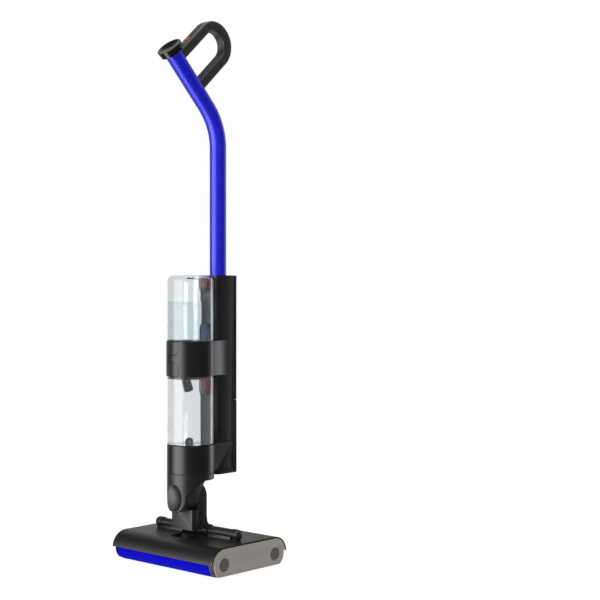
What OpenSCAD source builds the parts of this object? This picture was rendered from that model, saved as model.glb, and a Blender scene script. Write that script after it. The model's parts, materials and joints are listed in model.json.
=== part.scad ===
// Upright wet dry floor scrubber with two driven rollers and two clear water tanks.
// The origin lies on the floor under the middle of the head. X runs along the rollers, the tanks
// face -Y and the spine stands on the +Y side.

/* [Head] */
// Width of the floor head
head_w = 300; // [250:5:360]
// Distance of each roller axis from the middle
axle_y = 73; // [73:1:90]
// Outer radius of the roller pile
roller_r = 27; // [24:0.5:32]
// Gap between the pile and the shell
roller_gap = 5; // [4:0.5:8]
// Wall of the head shell
shell_wall = 3; // [2.5:0.5:4]
// Thickness of the grey end plate
end_plate_t = 3; // [2:0.5:5]
// Depth of the housing that carries the right roller bearings
end_housing_t = 15; // [10:1:20]
// Half width of the debris tray
tray_half = 34; // [26:1:34]

/* [Tilt and roll joint] */
// Radius of the pivot bar
bar_r = 9; // [7:0.5:9.5]
// Radius of the yoke's barrel
barrel_r = 12; // [11.5:0.1:12.5]
// Height of the tilt axis over the head's top
tilt_rise = 11; // [11:0.5:14]
// Height of the roll axis over the tilt axis
roll_rise = 69; // [66:1:84]
// Radius of the neck's round lower end
tongue_r = 29.5; // [27:0.5:31]
// Radius of the roll pin
pin_r = 7; // [5:0.5:9]
// Largest backward tilt in degrees
tilt_max = 38; // [30:1:38]

/* [Tanks] */
// Outer radius of both tanks
tank_r = 49; // [41:1:59]
// Wall of the tanks
tank_wall = 2; // [1.5:0.5:3]
// Height of the dirty water tank
dirty_h = 141; // [120:1:170]
// Height of the clean water tank
clean_h = 134; // [112:1:161]
// Height of the collar under the dirty tank
base_collar_h = 57; // [48:1:68]
// Height of the collar between the tanks
mid_collar_h = 73; // [61:1:88]
// Gap over and under each tank
tank_gap = 0.5; // [0.4:0.1:1]

/* [Spine] */
// Half width of the spine
spine_half = 27.6; // [26:0.2:29]
// Depth of the spine
spine_d = 58; // [56:1:70]
// Wall of the spine
spine_wall = 2.5; // [2:0.5:3]
// Depth of the covers at the back of the spine
cover_d = 9.5; // [8:0.5:12]
// Height of the battery pack's cover
battery_h = 154; // [150:1:185]

/* [Wand and handle] */
// Radius of the wand tube
wand_r = 17.5; // [14.5:0.5:19]
// Wall of the wand tube
wand_wall = 1.5; // [1:0.5:2.5]
// Visible height of the wand's upright stretch
wand_up = 269; // [224:1:323]
// Radius of the wand's bend
bend_r = 124; // [100:1:149]
// Angle of the wand's bend
bend_a = 43.7; // [38:0.1:50]
// Length of the straight stretch over the bend
wand_top = 140; // [130:1:168]
// Radius of the end cap
cap_r = 26.8; // [24:0.2:30]
// Thickness of the loop handle
grip_t = 22; // [20:1:26]
// Width of the loop handle
grip_w = 26; // [22:1:30]
// Radius of the loop's centre line
loop_r = 38.5; // [33:0.5:42]
// Reach of the loop's straight legs from the wand's axis
loop_reach = 102; // [85:1:122]

/* [Hidden] */
$fn = 64;
EPS = 0.01;
fit = 0.1;            // clearance between pieces that are fixed together
run = 0.06;           // radial clearance of shafts and pins
part_gap = 0.6;       // clearance between pieces that move apart

// Head
house_r = roller_r + roller_gap + shell_wall;
inner_r = roller_r + roller_gap;
head_top = roller_r + house_r;
lip_z = roller_r + 3.5;
plate_low = 4.5;
x_end = head_w / 2;
left_cap_t = 2.5;
x_left = -x_end + left_cap_t;
x_house = x_end - end_plate_t - end_housing_t;
roller_x0 = x_left + part_gap;
roller_x1 = x_house - part_gap;
core_r = roller_r - 5;
core_in = roller_r - 10;
motor_r = core_in - 2.5;
motor_len = 0.37 * (roller_x1 - roller_x0);
chassis_y = axle_y - roller_r - 6;
chassis_z0 = 6;
chassis_z1 = 36;
tray_z0 = 9;
tray_z1 = 34;
tray_x1 = x_house - 32;
tray_wall = 1.8;
tray_rim = 16;
plug_r = roller_r / 2;
stub_r = 4;
shaft_r = 3;
button_z = 2 * roller_r + 2;
button_travel = 1.5;
water_bar_top = head_top - shell_wall - fit;
screw_places = [for (x = [-0.42, 0, 0.42], side = [-1, 1])
    [x * head_w - 5, side * (chassis_y + tray_half + part_gap) / 2]];

// Tilt and roll joint
tilt_y = -3;
tilt_z = head_top + tilt_rise;
roll_z = tilt_z + roll_rise;
barrel_half = 37;
yoke_half = 30.5;
block_front = -48;
block_back = -29.5;
block_top = roll_z - 24;
plate_front = -27;
plate_back = -4;
plate_r = tongue_r - 1;
tongue_back = -28;
tongue_chamfer = 3;
flare_rise = 5;       // height over the roll axis from which the neck flares out
wide_rise = 36;       // height over the roll axis at which it is as wide as the tanks
dish_depth = 10;
dish_ball_r = (pow(tongue_r - 0.5, 2) + pow(dish_depth, 2)) / (2 * dish_depth);
dish_plug_r = 20;
dish_back = tongue_back - 31.5;
bar_half = x_end - 34;
bar_end_r = bar_r + 1.5;
bar_end_l = 12;
pocket_r = norm([block_front - tilt_y, 24]) + part_gap;
yoke_rise = 3;
pocket_line = 2.3;

// Column
tank_y = -23.5;
neck_top = roll_z + 50.6;
neck_h = neck_top - roll_z + 1;
neck_side = tongue_r - 0.05;
collar_z = neck_top;
dirty_z = collar_z + base_collar_h + tank_gap;
mid_z = dirty_z + dirty_h + tank_gap;
clean_z = mid_z + mid_collar_h + tank_gap;
spine_top = clean_z + clean_h + 2;
spine_z = neck_top - 9.6;
spine_y0 = tank_y + tank_r + 1;
spine_y1 = spine_y0 + spine_d;
cover_y = spine_y1 - cover_d;
seam_z = spine_z + battery_h;
grip_depth = 1.3;
grip_y = cover_y - 7;
collar_proud = 1.5;
arm_proud = 2.8;

// Tank fittings
lid_t = 5;
spout_r = 9.5;
spout_wall = 2;
spout_drop = 26;
spout_y = tank_y - 14;
catch_half = 8;
catch_d = 12;
catch_h = 26;
catch_gap = 0.8;
clean_catch_top = clean_z + clean_h + 1;
dirty_catch_top = dirty_z + dirty_h - 6;

// Battery pack
battery_y0 = spine_y0 + spine_wall + 3;
battery_z0 = spine_z + 13;
battery_z1 = seam_z - 4;
battery_half = spine_half - spine_wall - 1.6;
cell_r = 9.1;
cell_h = 65;

// Wand, in a frame whose Z runs along the slanted stretch and whose Y points into the loop
wand_y = spine_y0 + 29.3;
wand_z0 = spine_top - 40;
bend_z = spine_top + wand_up;
vertex = bend_r * tan(bend_a / 2);
vertex_z = bend_z + vertex;
top_s = vertex + wand_top;
bend_swell = 0.05;    // the formed bend is this much fatter than the straight tube
bend_lap = 1;         // length that the straight tube shares with the bend
cap_t = 13;
loop_s = top_s - 55;
grip_wall = 2.5;
grip_round = 5;
outer_s = loop_s + loop_r + grip_t / 2;
power_n = 53;
mode_n = 38.5;
button_proud = 0.9;

// Shared shapes ------------------------------------------------------------------------------

function arc_points(cx, cy, r, a0, a1, steps = 6) =
    [for (i = [0:steps]) let (a = a0 + (a1 - a0) * i / steps) [cx + r * cos(a), cy + r * sin(a)]];

// Half of a rounded rectangle of width w, from y = 0 up to y = h
function half_outline(w, h, r) = concat(
    [[w / 2, 0]],
    arc_points(w / 2 - r, h - r, r, 0, 90),
    arc_points(r - w / 2, h - r, r, 90, 180),
    [[-w / 2, 0]]);

// Outline with round corners at its front, low-Y side
function spine_outline(half, y0, y1, r) = concat(
    [[half, y1], [-half, y1]],
    arc_points(r - half, y0 + r, r, 180, 270),
    arc_points(half - r, y0 + r, r, 270, 360));

// Runs a shape drawn in Y and Z along X
module along_x(x0, x1) {
    translate([x0, 0, 0])
        rotate([90, 0, 90])
            linear_extrude(x1 - x0)
                children();
}

module box(low, high) {
    translate(low) cube(high - low);
}

module rod_x(r, x0, x1, y, z) {
    translate([x0, y, z]) rotate([0, 90, 0]) cylinder(r = r, h = x1 - x0);
}

module rod_y(r, y0, y1, x, z) {
    translate([x, y0, z]) rotate([-90, 0, 0]) cylinder(r = r, h = y1 - y0);
}

module rod_z(r, z0, z1, x, y) {
    translate([x, y, z0]) cylinder(r = r, h = z1 - z0);
}

// Side view of the head over its lip: two quarter rounds over the rollers and a flat top
module hood_2d(r) {
    intersection() {
        union() {
            for (side = [-1, 1]) translate([side * axle_y, roller_r]) circle(r = r);
            translate([-axle_y, 0]) square([2 * axle_y, roller_r + r]);
        }
        translate([-axle_y - r, lip_z]) square([2 * (axle_y + r), house_r]);
    }
}

// Side view of an end plate: the hood inside the shell, and the roller's round below the lip
module end_2d() {
    hood_2d(inner_r - fit);
    intersection() {
        union() {
            for (side = [-1, 1]) translate([side * axle_y, roller_r]) circle(r = roller_r - 0.2);
            translate([-axle_y, 0]) square([2 * axle_y, 2 * roller_r]);
        }
        translate([-axle_y - roller_r, plate_low]) square([2 * (axle_y + roller_r), lip_z]);
    }
}

// Space that the yoke's front block sweeps through as it tilts, grown by a wall
module swing_2d(grow) {
    translate([tilt_y, tilt_z])
        intersection() {
            circle(r = pocket_r + grow);
            rotate(tilt_max + 1)
                translate([-2 * pocket_r, pocket_line - grow])
                    square([2 * pocket_r + grow, 3 * pocket_r]);
        }
}

// Frame of the slanted stretch of the wand
module slanted() {
    translate([0, wand_y, vertex_z]) rotate([bend_a, 0, 0]) children();
}

// Head ---------------------------------------------------------------------------------------

module head_shell() {
    color([0.11, 0.11, 0.12])
    difference() {
        union() {
            difference() {
                along_x(-x_end, x_end) hood_2d(house_r);
                along_x(-x_end - 1, x_end + 1)
                    translate([0, -EPS]) hood_2d(inner_r);
                box([-x_end - 1, -axle_y, 0], [x_end + 1, axle_y, lip_z + 1]);
            }
            for (side = [0, 1]) mirror([side, 0, 0])
                box([barrel_half + 2, tilt_y - 8.5, head_top - 1],
                    [bar_half - bar_end_l - fit, tilt_y + 8.5, tilt_z - 5.5]);
            intersection() {
                along_x(-yoke_half - 3.5, yoke_half + 3.5)
                    intersection() {
                        swing_2d(2.5);
                        translate([-axle_y, chassis_z1 + 0.5])
                            square([axle_y + tilt_y + 8, head_top - chassis_z1 - 1]);
                    }
                difference() {
                    box([-axle_y, -axle_y, 0], [axle_y, axle_y, head_top]);
                    rod_x(roller_r + 2, -axle_y - 1, axle_y + 1, -axle_y, roller_r);
                }
            }
        }
        along_x(-yoke_half - 0.8, yoke_half + 0.8)
            intersection() {
                swing_2d(0);
                translate([-2 * axle_y, 0]) square([2 * axle_y + tilt_y, 2 * head_top]);
            }
        rod_x(barrel_r + part_gap, -barrel_half - 1, barrel_half + 1, tilt_y, tilt_z);
        tray_button_block(part_gap / 2, button_travel, head_top + 5);
        rod_x(bar_r + fit, -bar_half, bar_half, tilt_y, tilt_z);
    }
}

module head_chassis() {
    color([0.16, 0.16, 0.17])
    difference() {
        box([x_left + fit, -chassis_y, chassis_z0], [x_house - fit, chassis_y, chassis_z1]);
        box([x_left - 1, -tray_half - part_gap, tray_z0],
            [tray_x1 + part_gap, tray_half + part_gap, tray_z1]);
        for (side = [-1, 1])
            translate([0, side * chassis_y, 0])
                box([x_left + 12, -9, tray_rim + 1], [tray_x1 - 10, 9, 29]);
        for (at = screw_places) translate([at[0], at[1], 0]) {
            rod_z(1.5, chassis_z0 - 1, tray_rim - 1, 0, 0);
            rod_z(2.4, chassis_z0 - 1, chassis_z0 + 2, 0, 0);
        }
    }
}

module head_screws() {
    color([0.6, 0.6, 0.62])
    for (at = screw_places) translate([at[0], at[1], 0]) {
        rod_z(1.5, chassis_z0 + 2, tray_rim - 2, 0, 0);
        rod_z(2.3, chassis_z0 + 0.5, chassis_z0 + 2, 0, 0);
    }
}

module left_end_cap() {
    color([0.12, 0.12, 0.13])
    difference() {
        along_x(-x_end, x_left) end_2d();
        box([-x_end - 1, -tray_half - part_gap, tray_z0 - part_gap],
            [x_left + 1, tray_half + part_gap, tray_z1]);
        for (side = [-1, 1]) rod_x(stub_r + run, -x_end - 1, x_left + 1, side * axle_y, roller_r);
    }
}

module right_end_housing() {
    color([0.1, 0.1, 0.11])
    difference() {
        along_x(x_house, x_house + end_housing_t - fit) end_2d();
        for (side = [-1, 1])
            rod_x(motor_r - 3, x_house - 1, x_house + 4, side * axle_y, roller_r);
    }
}

module right_end_plate() {
    color([0.6, 0.58, 0.565])
    difference() {
        along_x(x_end - end_plate_t, x_end) end_2d();
        for (side = [-1, 1])
            rod_x(plug_r + fit, x_end - end_plate_t - 1, x_end + 1, side * axle_y, roller_r);
    }
}

module end_plugs() {
    color([0.37, 0.36, 0.35])
    for (side = [-1, 1])
        rod_x(plug_r, x_end - end_plate_t, x_end - 0.2, side * axle_y, roller_r);
}

module wiper(side) {
    color([0.2, 0.2, 0.2])
    mirror([0, side > 0 ? 0 : 1, 0])
        box([roller_x0 + 2, chassis_y, 31.5], [roller_x1 - 2, chassis_y + 5.2, 33.5]);
}

// Square water bar under the hood, bored along its length, with a stretch left out for the yoke
module water_bar(side, spans) {
    color([0.75, 0.77, 0.8])
    mirror([0, side > 0 ? 0 : 1, 0])
        for (span = spans)
            difference() {
                box([span[0], chassis_y + 3, water_bar_top - 6], [span[1], chassis_y + 9, water_bar_top]);
                rod_x(1.5, span[0] + 3, span[1] + 1, chassis_y + 6, water_bar_top - 3);
            }
}

// Motor fixed to the right housing inside the roller, with its shaft
module roller_motor(side) {
    color([0.55, 0.56, 0.58]) {
        rod_x(motor_r, x_house - motor_len, x_house, side * axle_y, roller_r);
        rod_x(shaft_r, x_house - motor_len - 12, x_house - motor_len, side * axle_y, roller_r);
    }
}

module pivot_bar() {
    color([0.13, 0.13, 0.14])
    rod_x(bar_r, -bar_half, bar_half, tilt_y, tilt_z);
}

module bar_end(side) {
    color([0.13, 0.13, 0.14])
    mirror([side > 0 ? 0 : 1, 0, 0])
        difference() {
            union() {
                rod_x(bar_end_r, bar_half - bar_end_l, bar_half, tilt_y, tilt_z);
                translate([bar_half, tilt_y, tilt_z]) sphere(r = bar_end_r);
                box([bar_half - 10, tilt_y - 7, head_top], [bar_half + 3, tilt_y + 7, tilt_z]);
            }
            rod_x(bar_r, bar_half - bar_end_l - 1, bar_half, tilt_y, tilt_z);
        }
}

// Block of the tray button, grown on every side
module tray_button_block(grow, drop, top) {
    box([-x_end + 19 - grow, axle_y + 7 - grow, button_z - grow - drop],
        [-x_end + 31 + grow, axle_y + 16 + grow, top]);
}

module tray_button() {
    color([0.8, 0.06, 0.07])
    tray_button_block(0, 0, head_top - 0.5);
}

module debris_tray() {
    color([0.15, 0.15, 0.16])
    difference() {
        union() {
            box([x_left + fit, -tray_half, tray_z0 + 0.3], [tray_x1, tray_half, tray_rim]);
            box([-x_end, -tray_half, tray_z0 + 0.3], [x_left + 2, tray_half, tray_z1 - part_gap]);
        }
        box([x_left + 4, -tray_half + tray_wall, tray_z0 + 0.3 + tray_wall],
            [tray_x1 - tray_wall, tray_half - tray_wall, tray_z1]);
        box([-x_end - 1, -14, 18], [-x_end + 2, 14, 28]);
    }
}

module tray_strainer() {
    color([0.35, 0.37, 0.4])
    difference() {
        box([x_left + 5, -tray_half + tray_wall + fit, tray_rim - 2.5],
            [tray_x1 - tray_wall - fit, tray_half - tray_wall - fit, tray_rim - 1]);
        for (i = [0:9], j = [-1:1])
            translate([x_left + 14 + i * (tray_x1 - x_left - 22) / 10, j * 18, 0])
                box([0, -6, tray_z0], [10, 6, tray_rim]);
    }
}

// Rollers ------------------------------------------------------------------------------------

module roller_sleeve(side) {
    color([0.02, 0.02, 0.85])
    difference() {
        rod_x(roller_r, roller_x0, roller_x1, side * axle_y, roller_r);
        rod_x(core_r, roller_x0 - 1, roller_x1 + 1, side * axle_y, roller_r);
    }
}

module roller_core(side) {
    color([0.12, 0.12, 0.14])
    difference() {
        rod_x(core_r, roller_x0, roller_x1, side * axle_y, roller_r);
        rod_x(core_in, roller_x0 - 1, roller_x1 + 1, side * axle_y, roller_r);
    }
}

// Left stub, driven spider and right bearing ring
module roller_hubs(side) {
    color([0.3, 0.3, 0.32]) {
        rod_x(core_in, roller_x0, roller_x0 + 9, side * axle_y, roller_r);
        rod_x(stub_r, -x_end + 0.3, roller_x0, side * axle_y, roller_r);
        difference() {
            rod_x(core_in, x_house - motor_len - 11, x_house - motor_len - 4, side * axle_y, roller_r);
            rod_x(shaft_r + run, x_house - motor_len - 13, x_house - motor_len, side * axle_y, roller_r);
        }
        difference() {
            rod_x(core_in, roller_x1 - 9, roller_x1, side * axle_y, roller_r);
            rod_x(motor_r + run, roller_x1 - 10, roller_x1 + 1, side * axle_y, roller_r);
        }
    }
}

// Tilt and roll joint ------------------------------------------------------------------------

module yoke() {
    color([0.14, 0.14, 0.15])
    difference() {
        union() {
            rod_x(barrel_r, -barrel_half, barrel_half, tilt_y, tilt_z);
            box([-yoke_half, block_front, tilt_z + yoke_rise], [yoke_half, block_back, block_top]);
            box([-yoke_half + 3, block_back - 1, tilt_z + yoke_rise],
                [yoke_half - 3, plate_front + 1, tilt_z + 12]);
            box([-plate_r, plate_front, tilt_z + yoke_rise], [plate_r, plate_back, roll_z]);
            rod_y(plate_r, plate_front, plate_back, 0, roll_z);
            along_x(-plate_r, plate_r)
                polygon([[plate_back - 1, tilt_z + yoke_rise], [tilt_y + 10, tilt_z + yoke_rise],
                    [plate_back + 2, tilt_z + 16], [plate_back - 1, tilt_z + 34]]);
        }
        rod_x(bar_r + run, -barrel_half - 1, barrel_half + 1, tilt_y, tilt_z);
        rod_y(tongue_r + 0.5, block_front - 1, plate_front - 0.5, 0, roll_z);
        rod_y(pin_r, plate_front - 1, plate_back - 4, 0, roll_z);
    }
}

module roll_pin() {
    color([0.7, 0.7, 0.72])
    rod_y(pin_r, tongue_back - 30, plate_back - 4, 0, roll_z);
}

// Ball whose surface is the dish in the neck's front
module dish_ball() {
    translate([0, tank_y - tank_r - dish_ball_r + dish_depth, roll_z]) sphere(r = dish_ball_r, $fn = 96);
}

// Front outline of the neck, run back to the yoke: a round tongue that widens upwards
module neck_front() {
    rod_y(tongue_r, tank_y - tank_r + tongue_chamfer, tongue_back, 0, roll_z);
    translate([0, tank_y - tank_r - 0.5, roll_z])
        rotate([-90, 0, 0])
            cylinder(r1 = tongue_r - tongue_chamfer - 0.5, r2 = tongue_r, h = tongue_chamfer + 0.5);
    translate([0, tongue_back, roll_z])
        rotate([90, 0, 0])
            linear_extrude(tongue_back - tank_y + tank_r + 1)
                polygon([[neck_side, 0], [neck_side, flare_rise], [tank_r, wide_rise], [tank_r, neck_h],
                    [-tank_r, neck_h], [-tank_r, wide_rise], [-neck_side, flare_rise], [-neck_side, 0]]);
}

module neck() {
    color([0.17, 0.17, 0.18])
    difference() {
        intersection() {
            rod_z(tank_r, roll_z - tongue_r - 1, neck_top, 0, tank_y);
            union() {
                neck_front();
                box([-tank_r - 1, tongue_back - 1, roll_z + wide_rise],
                    [tank_r + 1, tank_y + tank_r + 1, neck_top + 1]);
            }
        }
        rod_y(pin_r + run, dish_back - 1, tongue_back + 1, 0, roll_z);
        rod_y(dish_plug_r, tank_y - tank_r - 1, dish_back, 0, roll_z);
        dish_ball();
    }
}

// Round cover over the end of the roll pin, flush with the dish
module neck_dish() {
    color([0.14, 0.14, 0.15])
    difference() {
        rod_y(dish_plug_r - fit, tank_y - tank_r + 2, dish_back, 0, roll_z);
        dish_ball();
    }
}

// Column -------------------------------------------------------------------------------------

// Round collar with two arms that run back along the spine
module collar(r, half, z0, z1, arm_z0, y_end) {
    difference() {
        union() {
            rod_z(r, z0, z1, 0, tank_y);
            box([-half, tank_y, z0], [half, y_end, z1]);
            box([-half, spine_y0 - fit, arm_z0], [half, y_end, z1]);
        }
        rod_z(tank_r - 3, z0 - 1, z1 - 4, 0, tank_y);
        box([-spine_half - fit, spine_y0 - fit, arm_z0 - 1], [spine_half + fit, spine_y1, z1 + 1]);
        pack_grips();
    }
}

// Oval finger grips in both sides of the spine, for pulling the battery pack
module pack_grips() {
    for (side = [0, 1]) mirror([side, 0, 0]) {
        box([spine_half - grip_depth, grip_y - 5.5, spine_z + 16],
            [spine_half + 9, grip_y + 5.5, spine_z + 39]);
        for (z = [16, 39]) rod_x(5.5, spine_half - grip_depth, spine_half + 9, grip_y, spine_z + z);
    }
}

module base_collar() {
    color([0.13, 0.13, 0.14])
    collar(tank_r, spine_half + 2.4, collar_z, collar_z + base_collar_h, spine_z + 1, cover_y - 7);
}

module pump() {
    color([0.5, 0.5, 0.52]) {
        rod_z(18, collar_z + fit, collar_z + 22, 0, tank_y);
        rod_z(14, collar_z + 22, collar_z + base_collar_h - 10, 0, tank_y);
    }
}

module mid_collar() {
    color([0.13, 0.13, 0.14])
    collar(tank_r + collar_proud, spine_half + arm_proud, mid_z, mid_z + mid_collar_h, mid_z,
        spine_y0 + 27);
}

module collar_floor() {
    color([0.15, 0.15, 0.16])
    difference() {
        rod_z(tank_r - 3.1, mid_z, mid_z + 4, 0, tank_y);
        rod_z(spout_r - spout_wall, mid_z - 1, mid_z + 5, 0, spout_y);
    }
}

module spine_housing() {
    color([0.12, 0.12, 0.13])
    difference() {
        translate([0, 0, spine_z])
            linear_extrude(spine_top - spine_z)
                polygon(spine_outline(spine_half, spine_y0, cover_y, 9));
        translate([0, 0, spine_z + 3])
            linear_extrude(spine_top - spine_z - 6)
                polygon(spine_outline(spine_half - spine_wall, spine_y0 + spine_wall, cover_y + 1, 6.5));
        rod_z(wand_r + fit, spine_top - 5, spine_top + 1, 0, wand_y);
        box([-9 - fit, spine_y0 + 20 - fit, spine_z - 1], [9 + fit, spine_y0 + 34 + fit, spine_z + 4]);
        tank_ports();
        difference() {
            pack_grips();
            box([-spine_half, grip_y - 1.2, spine_z + 17], [spine_half, grip_y + 1.2, spine_z + 38]);
        }
    }
}

// Ports in the spine's front that the tanks plug on to
module tank_ports() {
    rod_y(5, spine_y0 - 1, spine_y0 + 4, 0, clean_z + 18);
    rod_y(5, spine_y0 - 1, spine_y0 + 4, 0, dirty_z + dirty_h - 52);
}

// Back cover with side walls, open towards the spine
module back_cover(z0, z1, gap) {
    difference() {
        box([-spine_half, cover_y + gap, z0], [spine_half, spine_y1, z1]);
        box([-spine_half + spine_wall, cover_y - 1, z0 + spine_wall],
            [spine_half - spine_wall, spine_y1 - spine_wall, z1 - spine_wall]);
    }
}

module rear_cover() {
    color([0.12, 0.12, 0.13])
    difference() {
        back_cover(seam_z + part_gap, spine_top, 0);
        rod_z(wand_r + 4.2, spine_top - 45, spine_top - 3 + fit, 0, wand_y);
    }
}

module control_board() {
    color([0.05, 0.35, 0.15])
    box([-19, spine_y0 + 32, seam_z + 20], [19, spine_y0 + 33.6, spine_top - 60]);
}

module charging_socket() {
    color([0.25, 0.25, 0.27])
    difference() {
        box([-9, spine_y0 + 20, spine_z + 0.5], [9, spine_y0 + 34, spine_z + 10]);
        for (x = [-4.5, 4.5]) rod_z(1.5, spine_z - 1, spine_z + 7, x, spine_y0 + 27);
    }
}

module wand_socket() {
    color([0.2, 0.2, 0.22])
    difference() {
        rod_z(wand_r + 4, wand_z0 - 3, spine_top - 3, 0, wand_y);
        rod_z(wand_r + fit, wand_z0, spine_top, 0, wand_y);
        rod_z(wand_r - 3, wand_z0 - 4, spine_top, 0, wand_y);
    }
}

// Wand and handle ----------------------------------------------------------------------------

// Upright stretch, bend and slanted stretch of a round rod; over is how far it runs past its ends
module wand_rod(r, over) {
    rod_z(r, wand_z0 - over, bend_z + bend_lap, 0, wand_y);
    translate([0, wand_y - bend_r, bend_z])
        rotate([90, 0, 90])
            rotate_extrude(angle = bend_a)
                translate([bend_r, 0]) circle(r = r + bend_swell);
    slanted() rod_z(r, vertex - bend_lap, top_s + over, 0, 0);
}

module wand_tube() {
    color([0.08, 0.08, 0.67])
    difference() {
        wand_rod(wand_r, 0);
        wand_rod(wand_r - wand_wall, 1);
    }
}

module wand_end_cap() {
    color([0.05, 0.05, 0.055])
    slanted() difference() {
        union() {
            rod_z(cap_r - 1, top_s - 1, top_s + cap_t / 2 - 1, 0, 0);
            rod_z(cap_r - 2.2, top_s + cap_t / 2 - 1, top_s + cap_t / 2, 0, 0);
            rod_z(cap_r, top_s + cap_t / 2, top_s + cap_t, 0, 0);
        }
        rod_z(wand_r, top_s - 2, top_s, 0, 0);
        rod_z(cap_r - 1.6, top_s + cap_t - 6, top_s + cap_t + 1, 0, 0);
    }
}

module display_lens() {
    color([0.03, 0.03, 0.035])
    slanted() difference() {
        rod_z(cap_r - 1.7, top_s + cap_t - 6, top_s + cap_t - 0.4, 0, 0);
        translate([0, 0, top_s + cap_t + 65.6]) sphere(r = 70, $fn = 96);
    }
}

// Hollow half of the grip's section; x is its thickness and y its half width
module grip_2d() {
    difference() {
        polygon(half_outline(grip_t, grip_w / 2, grip_round));
        translate([0, -EPS])
            polygon(half_outline(grip_t - 2 * grip_wall, grip_w / 2 - grip_wall, grip_round - grip_wall));
    }
}

module handle_shell() {
    color([0.27, 0.27, 0.28])
    slanted() difference() {
        union() {
            for (side = [-1, 1])
                translate([0, 5, loop_s + side * loop_r])
                    rotate([-90, 0, 0])
                        rotate([0, 0, -90])
                            linear_extrude(loop_reach - 5) grip_2d();
            translate([0, loop_reach, loop_s])
                rotate([0, 90, 0])
                    rotate_extrude(angle = 180)
                        translate([loop_r, 0]) grip_2d();
        }
        rod_z(wand_r + fit, 0, top_s + cap_t + 5, 0, 0);
        button_block(power_n, 5.5, 5, part_gap / 2);
        button_block(mode_n, 5, 4.5, part_gap / 2);
        for (side = [-1, 1]) grip_screw(side, 1.6, grip_w);
    }
}

// Block of a handle button that stands through the grip's outer wall
module button_block(n, half_n, half_x, grow) {
    box([-half_x - grow, n - half_n - grow, outer_s - 7],
        [half_x + grow, n + half_n + grow, outer_s + (grow > 0 ? 3 : button_proud)]);
}

// Round space across the grip for the screw of one leg
module grip_screw(side, r, half) {
    rod_x(r, -half, half, loop_reach - 22, loop_s + side * loop_r);
}

module handle_screws() {
    color([0.6, 0.6, 0.62])
    slanted() for (side = [-1, 1]) grip_screw(side, 1.5, grip_w / 2 - 0.6);
}

module switch_board() {
    color([0.05, 0.35, 0.15])
    slanted() box([-7, mode_n - 9, outer_s - 12], [7, power_n + 9, outer_s - 10]);
}

module power_button() {
    color([0.8, 0.05, 0.06])
    slanted() button_block(power_n, 5.5, 5, 0);
}

module mode_button() {
    color([0.05, 0.35, 0.36])
    slanted() button_block(mode_n, 5, 4.5, 0);
}

// Battery pack -------------------------------------------------------------------------------

module battery_case() {
    color([0.22, 0.22, 0.24])
    difference() {
        box([-battery_half, battery_y0, battery_z0], [battery_half, spine_y1 - spine_wall, battery_z1]);
        box([-battery_half + 1.5, battery_y0 + 1.5, battery_z0 + 1.5],
            [battery_half - 1.5, spine_y1, battery_z1 - 1.5]);
    }
}

module battery_cells() {
    color([0.2, 0.45, 0.6])
    for (x = [-1, 1], j = [0, 1], k = [0, 1])
        translate([x * (cell_r + 0.8), battery_y0 + cell_r + 2.4 + j * 19,
                battery_z0 + 2 + k * (cell_h + 1)])
            cylinder(r = cell_r, h = cell_h);
}

module battery_cover() {
    color([0.12, 0.12, 0.13])
    difference() {
        back_cover(spine_z, seam_z, part_gap / 2);
        box([-10 - part_gap / 2, spine_y1 - 4, seam_z - 22 - part_gap / 2],
            [10 + part_gap / 2, spine_y1 + 1, seam_z - 12 + part_gap / 2]);
    }
}

module battery_latch() {
    color([0.18, 0.18, 0.19])
    box([-10, spine_y1 - 5, seam_z - 22], [10, spine_y1 - 0.3, seam_z - 12]);
}

// Tanks --------------------------------------------------------------------------------------

// Clear tank body: a round can, hollow from z_in0 to z_in1, with a recess at its back for the catch
module tank_body(z0, z1, z_in0, z_in1, recess_z) {
    difference() {
        rod_z(tank_r, z0, z1, 0, tank_y);
        difference() {
            rod_z(tank_r - tank_wall, z_in0, z_in1, 0, tank_y);
            catch_space(z1, recess_z, tank_wall);
        }
        catch_space(z1, recess_z, 0);
    }
}

// Slot through the back of a tank with a round foot, for a catch
module catch_slot(half, y0, y1, foot, top) {
    box([-half, y0, foot + half], [half, y1, top]);
    rod_y(half, y0, y1, 0, foot + half);
}

// Recess for a catch, open to the back and the top, grown by the wall around it
module catch_space(z1, recess_z, grow) {
    catch_slot(catch_half + catch_gap + grow, tank_y + tank_r - catch_d - 1 - grow, tank_y + tank_r + 2,
        recess_z - grow, z1 + 5);
}

module tank_catch(z_top) {
    color([0.8, 0.05, 0.06])
    intersection() {
        along_x(-catch_half - 1, catch_half + 1)
            polygon([[tank_y + tank_r - catch_d, z_top], [tank_y + tank_r - 0.3, z_top],
                [tank_y + tank_r - 0.3, z_top - 9], [tank_y + tank_r - 5, z_top - catch_h - 1],
                [tank_y + tank_r - catch_d, z_top - catch_h - 1]]);
        catch_slot(catch_half, tank_y, tank_y + tank_r, z_top - catch_h, z_top + 1);
    }
}

module clean_tank() {
    color([0.85, 0.93, 0.97, 0.4])
    difference() {
        tank_body(clean_z, clean_z + clean_h, clean_z - 1, clean_z + clean_h - 2.5,
            clean_catch_top - catch_h - 6);
        valve_space(part_gap / 3);
    }
}

// Block of the clean tank's valve, in an arch at the foot of its back
module valve_space(grow) {
    box([-9 - grow, tank_y + tank_r - 13 - grow, clean_z - 1],
        [9 + grow, tank_y + tank_r + 2, clean_z + 27]);
    rod_y(9 + grow, tank_y + tank_r - 13 - grow, tank_y + tank_r + 2, 0, clean_z + 27);
}

module clean_tank_base() {
    color([0.2, 0.22, 0.25])
    difference() {
        rod_z(tank_r - tank_wall - fit, clean_z, clean_z + 3, 0, tank_y);
        valve_space(part_gap / 3);
    }
}

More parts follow.
